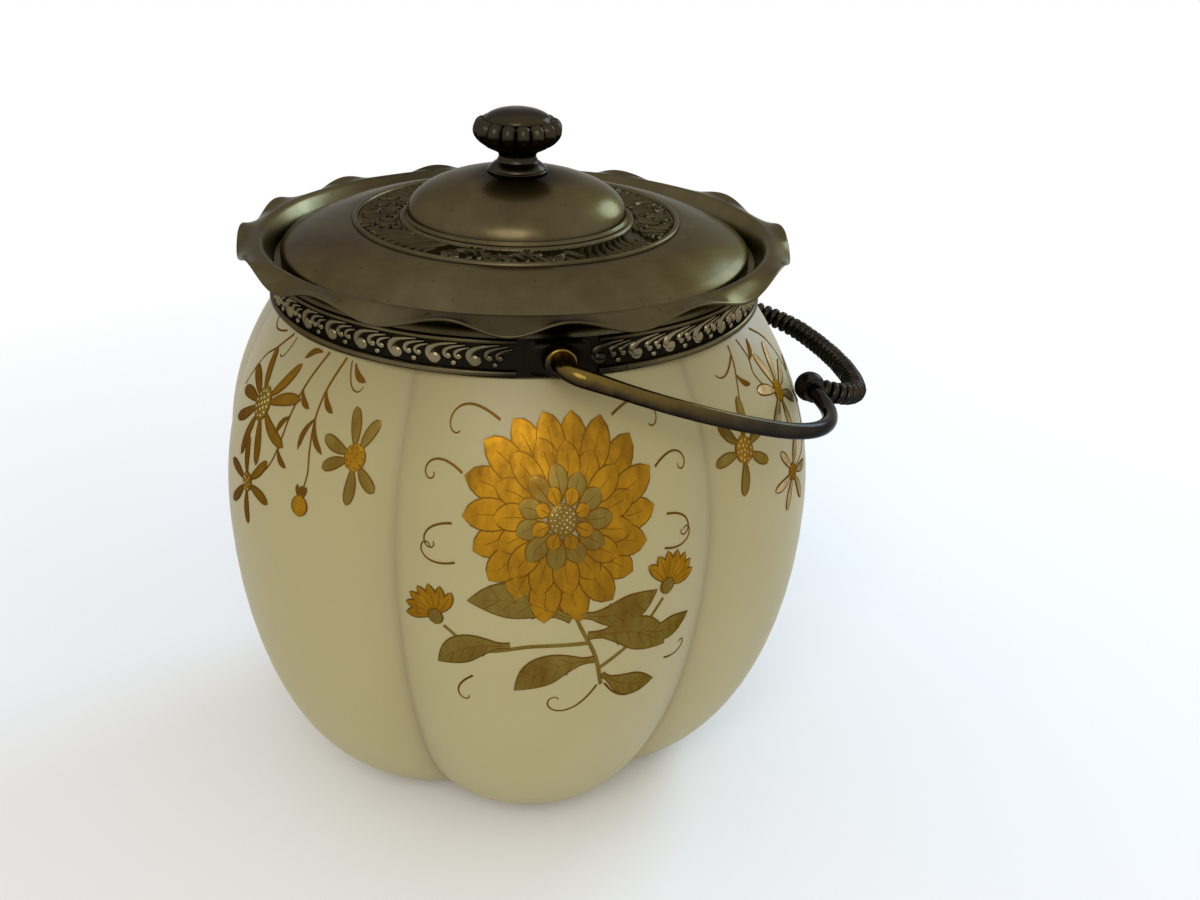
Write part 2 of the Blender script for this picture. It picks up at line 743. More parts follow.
class GlassOperator(Operator):
    """Make the melon-lobed glass body"""
    bl_idname = "biscuit_jar.glass"
    bl_label = "Glass body"

    def execute(self, context):
        look = context.scene.jar_glass
        belly, wall = look.belly / MM, look.wall / MM
        middle, top = look.belly_height / MM, look.shoulder_height / MM
        neck, mouth, base = look.neck / MM, look.neck_height / MM, look.base / MM
        floor, shoulder = look.floor / MM, look.shoulder / MM
        # Rounding of the mouth's edge, and how near to a height counts as reaching it
        lip, nearly = 0.4, 0.01

        def low(foot, widest, ground, t):
            """The curve from the ground to the belly, by its angle in degrees."""
            swing = math.radians(t)
            return (foot + (widest - foot) * math.sin(swing),
                    middle - (middle - ground) * math.cos(swing))

        def high(end, widest, z):
            """The curve from the belly to the shoulder, by its height."""
            rise = (z - middle) / (top - middle)
            return end + (widest - end) * (1 - rise ** BELLY_POWER), z

        outer = [(0, 0), (base * 0.5, 0), (base * 0.9, 0)]
        outer += [low(base, belly, 0, t) for t in (0, 2, 4, 6, 8, 10, 12, 15, 18, 21, 24, 28, 32,
                                                   36, 40, 45, 50, 55, 60, 66, 72, 78, 84)]
        outer += [high(shoulder, belly, middle + (top - middle) * t / 18) for t in range(19)]
        inner = [(neck - lip, mouth), (neck - wall + lip, mouth), (neck - wall, mouth - lip),
                 (neck - wall, top - wall)]
        inner += [high(neck - wall, belly - wall, middle + (top - 2 * wall - middle) * t / 8)
                  for t in range(7, 0, -1)]
        inner += [low(base - wall, belly - wall, floor, t) for t in range(90, -1, -9)]
        outline = outer + [(neck, top), (neck, mouth - lip)] + inner + [(0, floor)]
        body = lathe("glass_body", outline, steps=look.lobes * 36)

        def lobed(radius, azimuth, z):
            if z > top + nearly or (z > top - wall - nearly and radius < neck):
                return radius, z
            depth = look.groove_low + (look.groove_high - look.groove_low) * z / top
            return radius * (1 - depth * valley(azimuth, look.lobes) ** LOBE_POWER), z

        reshape(body, lobed)
        finished(body, "jar", "Opal glass", "glass_jar", smooth=10)
        return {"FINISHED"}


# Gilding

class Painter:
    """Draws gilt flowers on a flat sheet in front of the jar, in millimetres."""

    def __init__(self, look):
        self.line = look.outline / MM
        self.high = look.relief / MM
        self.dot = look.dot / MM
        self.pieces = []

    def add(self, piece, fill):
        """Keeps a stroke, filled with a finish and edged in brown."""
        for finish in (fill, BROWN):
            piece.data.materials.append(bpy.data.materials[finish])
        self.pieces.append(piece)

    def petal(self, root, tip, half, fill, bow=0.0, lift=0.0, vein=False, rows=9, sharp=0.6):
        """A petal or leaf outlined in brown, with a middle vein if one is asked for."""
        path = bowed_path(root, tip, bow, rows)
        self.add(stroke(path, petal_widths(rows, half, sharp=sharp), self.high + lift,
                        self.high + lift + 0.05, self.line), fill)
        if vein:
            self.stem(path[1:-2], 0.16, lift=lift + 0.1, count=rows)

    def curl(self, start, heading, reach, turn, half=0.3, fill=BROWN):
        """A tendril that winds up at its end."""
        path = curl_path(start, heading, reach, turn)
        widths = [half * (1 - 0.5 * k / len(path)) for k in range(len(path))]
        self.add(stroke(path, widths, self.high * 0.3, self.high), fill)

    def stem(self, points, half, lift=0.0, count=16, fill=BROWN, tip=0.5):
        """A line through the points, as thin at its tip as that share of its width."""
        path = smooth_path(points, count)
        widths = [half * (1 - (1 - tip) * (k / count)) for k in range(count + 1)]
        self.add(stroke(path, widths, self.high * 0.3 + lift, self.high + lift), fill)

    def dots(self, centre, radius, count, fill, lift=0.0, rings=2):
        """Raised dots in rings round a centre, and one on it."""
        places = []
        for ring in range(rings):
            reach = radius * (1 - ring / rings)
            number = max(1, round(count * (1 - ring / rings)))
            for k in range(number):
                swing = TURN * (k + 0.5 * (ring % 2)) / number
                places.append((centre[0] + reach * math.cos(swing),
                               centre[1] + reach * math.sin(swing)))
        for x, z in places + [tuple(centre)]:
            self.add(bead(x, z, self.dot, 0.35 + lift), fill)

    def disc(self, centre, radius, fill, lift=0.05):
        """A flower's round middle."""
        rows = 8
        x, z = centre
        path = [(x, z - radius + 2 * radius * t / rows) for t in range(rows + 1)]
        widths = [radius * math.sqrt(max(0.02, 1 - (2 * t / rows - 1) ** 2))
                  for t in range(rows + 1)]
        self.add(stroke(path, widths, self.high + lift, self.high + lift + 0.12, self.line),
                 fill)

    def flower(self, centre, tips, half, fill, core, middle, count, bright):
        """Petals to the tips, a middle of the core's radius, and bright dots on it."""
        centre = Vector(centre)
        for k, tip in enumerate(tips):
            tip = Vector(tip)
            root = centre + (tip - centre).normalized() * core * 0.75
            self.petal(root, tip, half, fill, bow=0.04 * (-1) ** k, lift=0.03 * (k % 2),
                       rows=12, sharp=0.42)
        self.disc(centre, core, middle)
        self.dots(centre, core * 0.72, count, bright, lift=0.12)

    def sheet(self, name):
        """All that was drawn, as one flat piece."""
        pieces, self.pieces = self.pieces, []
        return joined(name, pieces)


def daisy_spray(brush):
    """Three daisies, a bud and their stems, for the lobe at the left."""
    brush.flower((-6.6, 116.7), [(-20.4, 121.6), (-12.4, 128.0), (3.4, 128.0), (8.6, 121.4),
                                 (7.6, 110.6), (-1.6, 103.6), (-10.8, 103.0), (-20.5, 109.0),
                                 (-22.4, 115.2)],
                 1.45, BRONZE, 3.9, OLIVE, 12, PALE)
    brush.flower((-4.6, 98.4), [(-16.6, 99.4), (-8.0, 108.6), (3.0, 106.0), (5.6, 96.4),
                                (-2.8, 88.2), (-13.6, 90.2)],
                 1.3, BRONZE, 2.4, GOLD, 7, PALE)
    brush.flower((30.1, 113.2), [(27.4, 123.6), (35.2, 121.6), (36.4, 106.2), (29.4, 102.4),
                                 (21.4, 109.4), (20.4, 116.4)],
                 1.5, OLIVE, 3.0, GOLD, 9, BRONZE)
    brush.disc((16.4, 99.4), 2.5, GOLD)
    for way in (-1.4, 0, 1.4):
        brush.petal((16.4 + way * 0.6, 101.4), (16.4 + way, 104.2), 0.6, BROWN)
    brush.stem([(-7.8, 132.0), (-13.2, 127.6), (-18.0, 124.4), (-23.9, 115.9)], 0.36)
    brush.stem([(11.8, 132.0), (8.6, 125.4), (7.0, 118.9), (5.9, 110.2), (3.6, 104.9),
                (-1.0, 100.4)], 0.38)
    brush.stem([(18.8, 132.0), (16.4, 125.7), (15.7, 119.6), (16.6, 112.4), (17.5, 107.2),
                (16.6, 102.6)], 0.4)
    for root, tip in (((15.8, 119.0), (12.8, 111.6)), ((15.9, 118.6), (20.6, 112.2)),
                      ((16.4, 124.8), (20.6, 121.0)), ((8.0, 123.6), (12.6, 120.4)),
                      ((7.0, 117.4), (3.4, 112.8)), ((22.6, 131.4), (27.8, 128.4)),
                      ((5.8, 110.0), (10.2, 106.6)), ((9.0, 131.6), (3.2, 129.2))):
        brush.petal(root, tip, 0.75, BROWN, bow=0.12, rows=6)
    brush.curl((21.0, 131.8), -70, 10, 150, 0.24)
    brush.curl((-5.2, 131.8), -100, 7, -120, 0.24)
    brush.curl((-13.0, 131.6), 195, 13, -70, 0.24)


def star_spray(brush):
    """Three open daisies on thin stems, for the lobe at the right."""
    brush.flower((-29.0, 109.6), [(-26.2, 121.4), (-36.2, 117.2), (-39.4, 107.8),
                                  (-31.2, 98.6), (-20.2, 104.6), (-18.4, 113.4)],
                 1.5, OLIVE, 3.3, GOLD, 10, PALE)
    brush.flower((-5.0, 117.0), [(-10.4, 127.2), (0.2, 127.6), (6.6, 121.4), (5.8, 111.2),
                                 (-3.4, 106.4), (-13.8, 110.8), (-16.6, 120.2)],
                 1.45, PALE, 2.8, GOLD, 8, BRONZE)
    brush.flower((-8.4, 97.4), [(-14.0, 104.2), (-18.6, 95.8), (-12.8, 88.4), (-3.0, 88.0),
                                (2.4, 96.0), (-3.0, 104.4)],
                 1.3, PALE, 2.3, GOLD, 7, BRONZE)
    brush.stem([(-14.9, 131.6), (-13.5, 127.4), (-14.6, 124.0), (-12.0, 120.4),
                (-8.0, 118.6)], 0.32)
    brush.stem([(-3.4, 131.6), (4.6, 127.0), (9.6, 118.0), (8.8, 106.0), (2.0, 99.6),
                (-6.0, 98.0)], 0.34)
    brush.stem([(-20.4, 131.4), (-21.8, 127.6), (-24.8, 122.0), (-28.6, 112.0)], 0.34)
    brush.curl((-21.4, 129.4), 215, 11, -80, 0.3)
    for root, tip in (((-13.6, 126.8), (-9.0, 130.6)), ((8.8, 112.4), (13.6, 108.2)),
                      ((9.4, 117.4), (14.4, 120.2)), ((5.0, 102.0), (10.2, 99.6)),
                      ((-23.0, 125.4), (-18.4, 122.4))):
        brush.petal(root, tip, 0.75, BROWN, bow=0.12, rows=6)


def blossom(brush, centre, layers, core, bow=0.06):
    """A round blossom of petals in layers: (count, root, reach, half-width, finish)."""
    for level, (count, root, reach, half, fill) in enumerate(layers):
        for k in range(count):
            swing = TURN * (k + 0.5 * (level % 2)) / count
            way = toward(swing)
            stretch = 1 + 0.07 * math.sin(3 * swing + level)
            brush.petal(Vector(centre) + way * root, Vector(centre) + way * reach * stretch,
                        half, fill, bow=bow, lift=0.1 * level + 0.04 * (k % 2), vein=True)
    brush.disc(centre, core, OLIVE, lift=0.1 * len(layers))
    brush.dots(centre, core * 0.75, 14, PALE, lift=0.1 * len(layers) + 0.1, rings=3)


def leaf(brush, root, tip, half, bow):
    """A bronze-green leaf with a middle vein and ribs."""
    brush.petal(root, tip, half, OLIVE, bow=bow, vein=True, rows=14, sharp=0.95)
    start, end = Vector(root), Vector(tip)
    side = Vector((end.y - start.y, start.x - end.x))
    for t in (0.25, 0.4, 0.55, 0.7):
        middle = start.lerp(end, t) + side * bow * math.sin(math.pi * t)
        for way in (-1, 1):
            rib = middle + (end - start) * 0.12 + side.normalized() * way * half * 0.65
            brush.stem([tuple(middle), tuple(rib)], 0.13, lift=0.1, count=3)


def bud(brush, place, low, high, count, reach):
    """A half-open flower, its petals spread between two headings in degrees."""
    centre = Vector(place)
    for k in range(count):
        swing = math.radians(low + (high - low) * k / (count - 1))
        way = toward(swing)
        brush.petal(centre + way, centre + way * reach, reach * 0.17, GOLD, bow=0.05, vein=True)
    brush.disc(place, reach * 0.24, OLIVE, lift=0.1)


def medallion(brush):
    """A large gilt blossom with leaves below it, for the front lobe."""
    for points in ([(9, 61), (7, 70), (3, 79), (0, 87)], [(8, 66), (17, 72), (25, 81)],
                   [(5, 74), (-8, 74), (-20, 72), (-29, 77)]):
        brush.stem(points, 0.55, count=18, fill=OLIVE, tip=0.8)
    for root, tip, half, bow in (
            ((5, 76), (27, 67), 4.6, -0.12), ((1, 81), (-23, 85), 4.6, 0.12),
            ((7, 69), (-12, 61), 4.2, 0.14), ((3, 82), (23, 84), 4.0, 0.12),
            ((-13, 74), (-31, 66), 3.8, 0.12), ((9, 64), (25, 57), 3.4, 0.10),
            ((19, 74), (35, 73), 3.2, 0.14)):
        leaf(brush, root, tip, half, bow)
    blossom(brush, (-1, 105), ((18, 8, 23.5, 3.8, GOLD), (15, 5, 17.2, 3.2, GOLD),
                               (11, 4, 11.4, 2.5, OLIVE), (8, 3, 7.2, 1.9, GOLD)), 3.6)
    bud(brush, (26, 84), 10, 130, 7, 9)
    bud(brush, (-31, 79), 60, 190, 7, 8.5)
    for start, heading, reach, turn in (
            ((24, 113), 35, 16, -330), ((26, 102), -5, 14, -300), ((25, 94), -20, 13, 260),
            ((-25, 114), 145, 16, 330), ((-27, 103), 185, 14, 300), ((-26, 94), 200, 14, -280),
            ((-16, 125), 150, 20, 250), ((14, 125), 28, 20, -250), ((10, 61), -60, 18, 290),
            ((8, 61), -120, 20, -290), ((-22, 64), 215, 12, 240), ((28, 62), -20, 11, 260)):
        brush.curl(start, heading, reach, turn)


class GildingOperator(Operator):
    """Paint the gilt flowers on the lobes"""
    bl_idname = "biscuit_jar.gilding"
    bl_label = "Gilding"

    def execute(self, context):
        glass = bpy.data.objects["glass_body"]
        brush = Painter(context.scene.jar_gilt)
        around = context.scene.jar_glass.belly
        lobe = TURN / context.scene.jar_glass.lobes
        # Each spray's lobe, counted from the front, and the turn to its twin's, if any
        for name, draw, at, far in (("gilt_left", daisy_spray, -1, 3),
                                    ("gilt_right", star_spray, 1, -3),
                                    ("gilt_front", medallion, 0, None)):
            draw(brush)
            spray = brush.sheet(name)
            lay_on(spray, glass, aim_round(at * lobe, around))
            modify(spray, "SOLIDIFY", thickness=0.3 * MM, offset=-1)
            close_up(spray)
            finished(spray, "jar", smooth=40)
            if far:
                twin = turned_copy(spray, name + "_far", far * lobe)
                finished(twin, "jar", smooth=40)
        return {"FINISHED"}


# Collar

def drop_unit(relief):
    """One repeat of the collar's ornament: a large drop, two small ones and the beads."""
    count = 12
    parts = []
    for points, widths in (
            ([(-0.8, 1.4), (-1.4, 2.5), (-1.1, 3.7), (0.2, 4.7), (2.4, 5.4), (5.4, 5.8)],
             (0.6, 0.85, 0.88, 0.74, 0.52, 0.18)),
            ([(2.75, 2.5), (2.4, 3.3), (2.9, 4.1), (4.5, 4.9), (7.2, 5.45)],
             (0.5, 0.64, 0.62, 0.5, 0.16)),
            ([(5.2, 2.5), (4.9, 3.2), (5.35, 3.9), (6.5, 4.5), (8.2, 4.95)],
             (0.48, 0.6, 0.58, 0.44, 0.14))):
        smooth_widths = [w for w, in smooth_path([(w,) for w in widths], count)]
        parts.append(stroke(smooth_path(points, count), smooth_widths, SUNK, relief,
                            round_off=3.5))
    for x, z, radius, height in ((0, 1.75, 1.6, 1.25), (3.25, 2.55, 0.9, 1.1),
                                 (5.65, 2.55, 0.85, 1.1), (4.5, 1.0, 0.75, 1.0)):
        parts.append(bead(x, z, radius, relief * height, around=14, over=6))
    return joined("drop_unit", parts)


class CollarOperator(Operator):
    """Make the embossed ornament of the collar"""
    bl_idname = "biscuit_jar.collar"
    bl_label = "Collar ornament"

    def execute(self, context):
        look = context.scene.jar_collar
        band = frame["nodes"]["collar_band"]
        step = TURN / look.repeats
        ear = look.plate / look.radius
        count = int((math.pi - 2 * ear) / step)
        unit = drop_unit(look.relief / MM)
        unit.data.transform(Matrix.Translation((0, 0, look.field)))
        lay_on(unit, band, aim_round(ear + step * 0.2, look.radius))
        close_up(unit)
        turned_copies(unit, count - 1, step)
        unit.name = "collar_ornament"
        rear = turned_copy(unit, "collar_ornament_rear", math.pi)
        for piece in (unit, rear):
            finished(piece, "jar", "Rubbed plate", smooth=50)
        return {"FINISHED"}


class EarOperator(Operator):
    """Make the soft-edged plates at the two ears"""
    bl_idname = "biscuit_jar.ears"
    bl_label = "Ear plates"

    def execute(self, context):
        look = context.scene.jar_collar
        wide, tall = look.plate / MM, look.plate_height / MM
        wall, hole, band = look.plate_wall / MM, look.boss / MM, look.radius / MM
        middle = PIVOT.z / MM - 0.1
        squareness = 6
        outline = [(hole, 0), (hole, wall), (hole + 1.2, wall + 0.1)]
        outline += [(wide - inwards, wall - down) for inwards, down in (
            (3.8, 0.1), (2.4, 0.45), (1.2, 0.95), (0.4, 1.5))]
        outline += [(wide, 0.15), (wide, 0)]
        plate = lathe("ear_saddle_front", outline + outline[:1], steps=72)
        # The round plate is drawn out to an oblong and bent round the band
        for vertex in plate.data.vertices:
            x, z, lift = vertex.co / MM
            reach, swing = math.hypot(x, z), math.atan2(z, x)
            corner = (abs(math.cos(swing) / wide) ** squareness
                      + abs(math.sin(swing) / tall) ** squareness)
            share_out = (reach - hole) / (wide - hole)
            reach = hole + share_out * (corner ** (-1 / squareness) - hole)
            turned, out = reach * math.cos(swing) / band, band + lift
            vertex.co = Vector((out * math.sin(turned), -out * math.cos(turned),
                                middle + reach * math.sin(swing))) * MM
        close_up(plate)
        rear = turned_copy(plate, "ear_saddle_rear", math.pi)
        for piece, node in ((plate, "ear_plate_front"), (rear, "ear_plate_rear")):
            finished(piece, "jar", "Collar ground", node, smooth=50)
        return {"FINISHED"}


# Azimuths in degrees at which the rim's edge rises, the uneven work of a hand
RIM_WAVES = (-168, -143, -119, -98, -73, -48, -21, 1, 27, 57, 86, 114, 146, 168, 192)


def wave_at(azimuth):
    """How many waves of the rim's edge lie between the first one and an azimuth."""
    if azimuth < RIM_WAVES[0]:
        azimuth += 360
    k = max(i for i in range(len(RIM_WAVES) - 1) if RIM_WAVES[i] <= azimuth)
    return k + (azimuth - RIM_WAVES[k]) / (RIM_WAVES[k + 1] - RIM_WAVES[k])


class RimOperator(Operator):
    """Make the scalloped rim"""
    bl_idname = "biscuit_jar.rim"
    bl_label = "Scalloped rim"

    def execute(self, context):
        look = context.scene.jar_rim
        band = context.scene.jar_collar.radius / MM
        foot, crest, edge = look.foot / MM, look.crest / MM, look.edge / MM
        lift, fall = look.lift / MM, look.fall / MM
        # How far out from the band the crest lies
        ridge = 3.1

        def section(s):
            """Outline of the rim, where s is 0 at a wave's top and 1 where it hangs lowest."""
            tip = band + edge
            drop = fall * s - lift
            low = crest - drop

            def flare(share_out):
                return (band + ridge + (edge - ridge) * share_out,
                        crest - drop * share_out ** 1.5
                        - 0.35 * (1 - s) * math.sin(math.pi * share_out))

            under = [(band + out, up) for out, up in (
                (-0.7, 0), (0.25, 0), (0.35, 0.3), (0.5, 0.9), (0.75, 1.5), (1.15, 2.1),
                (1.7, 2.7), (2.4, 3.2 - 0.1 * s), (3.2, 3.75 - 0.4 * s), (4.2, 4.4 - 0.8 * s),
                (5.8, 5.2 - 1.6 * s))]
            edge_roll = [(tip - inwards, low + up) for inwards, up in (
                (1.1, -1.0), (0.35, -0.8), (0, -0.45), (0.05, -0.1), (0.4, 0.1))]
            inside = [(band + out, crest - down) for out, down in (
                (ridge, 0), (2.4, 0.15), (1.7, 0.65), (1.05, 1.6), (0.4, 2.9), (-0.15, 4.1),
                (-0.7, 5.2))]
            return under + edge_roll + [flare(t) for t in (0.82, 0.62, 0.4, 0.2)] + inside

        risen, hung = section(0), section(1)
        rim = lathe("rim", [(r, foot + z) for r, z in risen + risen[:1]], steps=168)

        def ruffled(radius, azimuth, z):
            """Moves a point of the risen outline towards its place in the hung one."""
            k = min(range(len(risen)),
                    key=lambda i: abs(risen[i][0] - radius) + abs(foot + risen[i][1] - z))
            s = (1 - math.cos(TURN * wave_at(azimuth))) / 2
            (r0, z0), (r1, z1) = risen[k], hung[k]
            return r0 + (r1 - r0) * s, foot + z0 + (z1 - z0) * s

        reshape(rim, ruffled)
        modify(rim, "SUBSURF", levels=1, render_levels=1)
        finished(rim, "jar", "Rim plate", "scalloped_rim", smooth=60)
        return {"FINISHED"}


# Lid

def roll(radius, height, half):
    """Outline of a rounded border, from its inner to its outer side."""
    return [(radius - half * math.cos(math.radians(t)), height + half * math.sin(math.radians(t)))
            for t in range(0, 181, 30)]


class LidOperator(Operator):
    """Make the domed lid and the ornament of its ring"""
    bl_idname = "biscuit_jar.lid"
    bl_label = "Lid"

    def execute(self, context):
        look = context.scene.jar_lid
        edge, ring, dome = look.edge / MM, look.ring / MM, look.dome / MM
        seat, rise = look.seat / MM, look.dome_rise / MM
        hole, metal = look.hole / MM, look.metal / MM
        level = seat + look.rise / MM
        # Where the flat under the knob ends, and where the ornament's ground starts and ends
        flat = 7.7
        start, end = dome + 2.1, ring - 1.8

        def plate(r):
            """Height of the slope between the ring and the edge."""
            return level - 6 * ((r - ring) / (edge - ring)) ** 1.6

        def crown(r):
            """Height of the dome."""
            return level + 0.8 + rise * max(0, 1 - (r / dome) ** 2) ** 0.45

        drop = plate(edge)
        on_dome = [flat + (dome - flat) * math.sin(math.radians(t))
                   for t in (0, 8, 16, 24, 32, 40, 48, 56, 63, 69, 74, 78, 82, 85, 87, 89, 90)]
        on_slope = [ring + (edge - 1.2 - ring) * t / 12 for t in range(1, 13)]
        top = [(hole, crown(flat))] + [(r, crown(r)) for r in on_dome]
        top += [(dome + out, level + up) for out, up in (
            (0.25, 0.68), (0.7, 0.6), (1.3, 0.6), (1.7, 0.45), (1.95, 0.1))]
        top += [(start, level - 0.15), (end, level - 0.2)] + roll(ring - 0.85, level - 0.1, 0.8)
        top += [(ring + 0.1, level - 0.1)] + [(r, plate(r)) for r in on_slope]
        top += [(edge - 0.55, drop - 0.05), (edge - 0.15, drop - 0.45), (edge, drop - 0.95),
                (edge, seat + 0.25), (edge - 0.2, seat)]
        under = [(edge - metal, seat), (edge - metal, drop - metal)]
        under += [(r, plate(r) - metal) for r in (edge - 4, edge - 9, edge - 13, ring + 1)]
        under += [(ring - 2, level - metal - 0.1), (dome + 2, level - metal - 0.1)]
        under += [(r, crown(r) - metal) for r in (dome - 0.4, 26.5, 24, 20, 16, 11, flat)]
        under += [(hole, crown(flat) - metal)]
        lid = lathe("lid", top + under + top[:1], steps=160)
        finished(lid, "lid", "Lid plate", "lid_shell", smooth=40)

        unit = self.ornament(look.relief / MM)
        lay_on(unit, lid, aim_down(math.radians(-30), (start + end) / 2 * MM))
        close_up(unit)
        turned_copies(unit, look.sprays - 1, TURN / look.sprays)
        finished(unit, "lid", "Lid plate", smooth=45)
        return {"FINISHED"}

    def ornament(self, relief):
        """A fan of long leaves, then a vine with leaves and flowers, drawn flat."""
        parts = []

        def leaf(root, tip, half, bow=0.0, rows=7, lift=1.0):
            """A leaf or petal whose height is a share, the lift, of the relief."""
            parts.append(stroke(bowed_path(root, tip, bow, rows), petal_widths(rows, half, 0.3),
                                SUNK, relief * lift))

        for k in range(8):
            x = -27.2 + 2.5 * k
            leaf((x, -4.5), (x + 4.6 - 0.25 * k, 4.5), 1.1, bow=-0.16, rows=9,
                 lift=0.9 + 0.3 * (k % 2))
            leaf((x + 1.9, -4.5), (x + 3.6 - 0.2 * k, 0.4), 0.62, bow=-0.14, lift=0.7)
        vine = [(-4.6 + 1.3 * k, 2.3 * math.sin(0.62 * k - 0.6)) for k in range(25)]
        parts.append(stroke(vine, [0.36] * len(vine), SUNK, relief * 0.7))
        for k in range(1, 24):
            x, z = vine[k]
            side = -1 if k % 2 else 1
            leaf((x, z), (x + 2.9, side * 4.3 + 0.2 * z), 1.05, bow=0.2 * side, rows=6,
                 lift=0.85 + 0.25 * (k % 3))
        for x, z, radius in ((-2.0, -2.5, 2.2), (3.2, 2.5, 2.3), (9.6, -2.3, 2.4),
                             (15.4, 2.5, 2.2), (21.6, -2.4, 2.3)):
            for k in range(5):
                way = toward(TURN * k / 5 + x)
                leaf(Vector((x, z)) + way * 0.45, Vector((x, z)) + way * radius, 0.85, rows=5,
                     lift=1.25)
            parts.append(bead(x, z, 0.6, relief * 1.6))
        return joined("lid_ornament", parts)


class KnobOperator(Operator):
    """Make the knob's bell foot and its gadrooned head"""
    bl_idname = "biscuit_jar.knob"
    bl_label = "Knob"

    def execute(self, context):
        look = context.scene.jar_lid
        hole, grown, depth = look.hole / MM, look.head / MM, look.gadroon / MM
        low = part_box("knob_foot")[0].z / MM
        foot = lathe("foot_of_knob", [(r, low + z) for r, z in (
            (hole, 0), (7.3, 0), (7.65, 0.1), (7.7, 0.35), (7.5, 0.6), (7.3, 0.7), (7.25, 0.95),
            (6.85, 1.4), (6.3, 1.9), (5.7, 2.35), (5.25, 2.65), (5.1, 2.85), (5.1, 3.0),
            (5.0, 3.2), (hole, 3.2), (hole, 0))], steps=96)
        finished(foot, "lid", "Knob plate", "knob_foot", smooth=40)

        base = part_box("knob_head")[0].z / MM
        head = lathe("head_of_knob", [(r, base + z) for r, z in (
            (0, 6), (hole, 6), (hole, 0.02), (4.8, 0.02), (4.75, 0.7), (4.8, 1.25), (5.2, 1.7),
            (6.3, 2.3), (7.4, 2.8), (8.5, 3.35), (9.6, 4.15), (10.4, 5.0), (10.95, 5.8),
            (grown - 0.05, 6.6), (grown, 7.4), (grown - 0.15, 8.3), (10.8, 9.0), (10.2, 9.6),
            (9.5, 9.95), (8.9, 9.95), (8.5, 9.7), (8.35, 9.85), (8.3, 10.1), (7.9, 10.6),
            (7.0, 11.2), (5.6, 11.8), (3.8, 12.25), (2.0, 12.45), (0, 12.5))],
            steps=look.gadroons * 12)
        # The gadroons lie between these heights, outside the stem below and the cap above,
        # whose foot has a height of its own, and they fade towards the stem
        lowest, highest, cap_foot = 1.2, 9.98, 9.6
        stem, cap = 4.9, 8.7

        def gadrooned(radius, azimuth, z):
            up = z - base
            if not lowest < up < highest or radius < stem or (up > cap_foot and radius < cap):
                return radius, z
            share_out = min(1, (radius - 4.7) / 2.5)
            wave = 1 - abs(math.cos(math.radians(look.gadroons * azimuth / 2)))
            return radius - depth * 1.2 * share_out * wave, z - 0.5 * wave * (up > 9)

        reshape(head, gadrooned)
        finished(head, "lid", "Knob plate", "knob_head", smooth=50)
        return {"FINISHED"}


# Bail

class GripOperator(Operator):
    """Wind the grip's wire"""
    bl_idname = "biscuit_jar.grip"
    bl_label = "Wound grip"

    def execute(self, context):
        look = context.scene.jar_grip
        flat = math.pi / 2 - look.turn
        centre = Vector((look.start[0] + look.knuckle, look.start[1] - look.bend))
        middle = look.bend + centre.y / math.sin(flat)
        start = centre.x - (middle - look.bend) * math.cos(flat)
        half_middle = middle * flat
        half = half_middle + look.bend * look.turn
        # The turns all but touch
        wire = look.pitch / 2 * 0.98
        winding = look.radius - wire
        turns = 2 * half / look.pitch
        per_turn = 16
        tilt = Matrix.Rotation(look.droop, 4, "Y")

        def core(place):
            """Heading and point of the grip's middle line, by the way along it."""
            if abs(place) < half_middle:
                swing = place / middle
                return swing, Vector((start + middle * math.cos(swing), middle * math.sin(swing)))
            side = math.copysign(1, place)
            swing = side * (flat + (abs(place) - half_middle) / look.bend)
            return swing, Vector((centre.x + look.bend * math.cos(swing),
                                  side * centre.y + look.bend * math.sin(swing)))

        curve = bpy.data.curves.new("winding", "CURVE")
        curve.dimensions = "3D"
        curve.bevel_depth = wire
        curve.bevel_resolution = 2
        curve.use_fill_caps = True
        spline = curve.splines.new("POLY")
        spline.points.add(int(turns * per_turn))
        for k, point in enumerate(spline.points):
            swing, line = core(half * (2 * k / (turns * per_turn) - 1))
            around = TURN * k / per_turn
            out = winding * math.cos(around)
            place = tilt @ Vector((line.x + out * math.cos(swing),
                                   line.y + out * math.sin(swing),
                                   winding * math.sin(around))) + PIVOT
            point.co = (*place, 1)
        piece = bpy.data.objects.new("winding", curve)
        bpy.context.collection.objects.link(piece)
        choose(piece)
        bpy.ops.object.convert(target="MESH")
        piece = added("winding")
        close_up(piece)
        finished(piece, "bail", "Wound wire", "grip_coil", smooth=60)
        return {"FINISHED"}


class NodesOperator(Operator):
    """Finish the pieces of the frame that keep their shape"""
    bl_idname = "biscuit_jar.nodes"
    bl_label = "Carried-over pieces"

    def execute(self, context):
        for finish, nodes in (
                ("Plaster", ("plaster_ring",)),
                ("Collar ground", ("collar_band",)),
                ("Collar wire", ("lower_wire", "upper_wire")),
                ("Old plate", ("lid_seat", "lid_guide_ring")),
                ("Dark plate", ("knuckle_front", "knuckle_rear", "grip_core")),
                ("Bail brass", ("ear_boss_front", "ear_boss_rear", "bail_arm_front",
                                "bail_arm_rear")),
                ("Steel", ("knob_stud", "knob_washer", "knob_nut"))):
            for node in nodes:
                for slot in frame["nodes"][node].material_slots:
                    slot.material = bpy.data.materials[finish]
        return {"FINISHED"}


# Stage

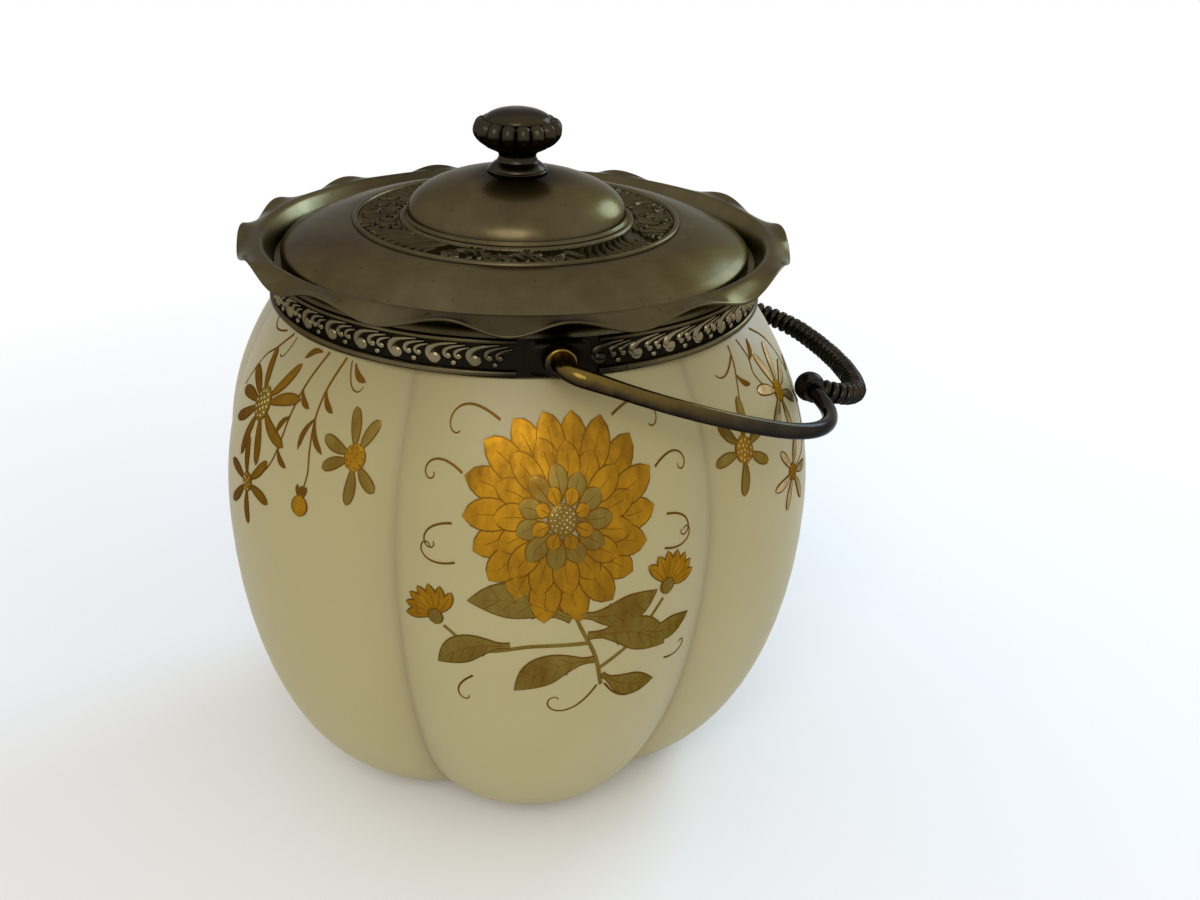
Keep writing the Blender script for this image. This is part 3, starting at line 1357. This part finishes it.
class StageOperator(Operator):
    """Set up the floor, the lamps and the camera"""
    bl_idname = "biscuit_jar.stage"
    bl_label = "Stage"

    def execute(self, context):
        look = context.scene.jar_stage
        scene = context.scene
        scene.view_settings.view_transform = "Standard"
        self.floor(look)
        scene.world = self.sky(look)
        self.lamp("key", place=(0.60, 0.40, 0.42), target=(0.02, 0, 0.12), size=0.38,
                  power=look.key, shade=(0.50, 0.72, 1.0))
        self.lamp("fill", place=(-0.25, -0.88, 0.70), target=(0, 0, 0.09), size=0.72,
                  power=look.fill, shade=(1.0, 0.97, 0.92))
        deselect()
        bpy.ops.object.camera_add(location=(-0.05008, -0.33509, 0.2475),
                                  rotation=[math.radians(a) for a in (64.509, -1.855, -11.573)])
        camera = added("camera")
        camera.data.lens = 40.506
        camera.data.sensor_width = 36
        camera.data.clip_start = 0.01
        scene.camera = camera
        return {"FINISHED"}

    def floor(self, look):
        """A disc that turns from floor to plain white backdrop away from the jar."""
        reach, middle = 4, 0.8
        deselect()
        bpy.ops.mesh.primitive_circle_add(vertices=128, radius=reach, fill_type="NGON")
        floor = added("floor")
        with editing(floor):
            bpy.ops.mesh.inset(thickness=reach - middle)
        finish = Finish("Floor")
        spot = finish.away((1, 1, 1))
        plain = finish.node("ShaderNodeBsdfDiffuse", {}, {"Color": (*look.floor, 1)})
        glow = finish.node("ShaderNodeEmission", {}, {"Color": (1, 1, 1, 1), "Strength": 1.0})
        far = (spot + finish.noise(6) * 0.02).kept(0.16, 0.42)
        finish.show(finish.node("ShaderNodeMixShader", {}, {
            0: far * finish.backdrop_rays(), 1: plain, 2: glow}))
        floor.data.materials.append(finish.owner)

    def sky(self, look):
        """A world as bright as its look says, and plain white as a backdrop."""
        finish = Finish("Sky", "worlds")
        strength = look.sky + finish.backdrop_rays() * (1 - look.sky)
        sky = finish.node("ShaderNodeBackground", {},
                          {"Color": (1, 1, 1, 1), "Strength": strength})
        finish.show(sky, "ShaderNodeOutputWorld")
        return finish.owner

    def lamp(self, name, place, target, size, power, shade):
        """A round lamp that shines at a target."""
        deselect()
        way = Vector(target) - Vector(place)
        bpy.ops.object.light_add(type="AREA", location=place,
                                 rotation=way.to_track_quat("-Z", "Y").to_euler())
        lamp = added(name)
        lamp.data.shape = "DISK"
        lamp.data.size = size
        lamp.data.energy = power
        lamp.data.color = shade


OPERATORS = (FinishOperator, NodesOperator, GlassOperator, GildingOperator, CollarOperator,
             EarOperator, RimOperator, LidOperator, KnobOperator, GripOperator, StageOperator)


class BiscuitJarPanel(Panel):
    """Lists the steps that build the jar"""
    bl_idname = "VIEW3D_PT_biscuit_jar"
    bl_label = "Biscuit Jar"
    bl_space_type = "VIEW_3D"
    bl_region_type = "UI"
    bl_category = "Biscuit Jar"

    def draw(self, context):
        for operator in OPERATORS:
            self.layout.operator(operator.bl_idname)
        for name, look in LOOKS.items():
            box = self.layout.box()
            box.label(text=look.__doc__)
            for key in look.__annotations__:
                box.prop(getattr(context.scene, name), key)


def register():
    for look in LOOKS.values():
        bpy.utils.register_class(look)
    for name, look in LOOKS.items():
        setattr(bpy.types.Scene, name, PointerProperty(type=look))
    for operator in OPERATORS:
        bpy.utils.register_class(operator)
    bpy.utils.register_class(BiscuitJarPanel)


def unregister():
    bpy.utils.unregister_class(BiscuitJarPanel)
    for operator in reversed(OPERATORS):
        bpy.utils.unregister_class(operator)
    for name in LOOKS:
        delattr(bpy.types.Scene, name)
    for look in reversed(LOOKS.values()):
        bpy.utils.unregister_class(look)


def main():
    register()
    for operator in OPERATORS:
        step = operator.bl_idname.split(".")[1]
        getattr(bpy.ops.biscuit_jar, step)()


if __name__ == "__main__":
    main()
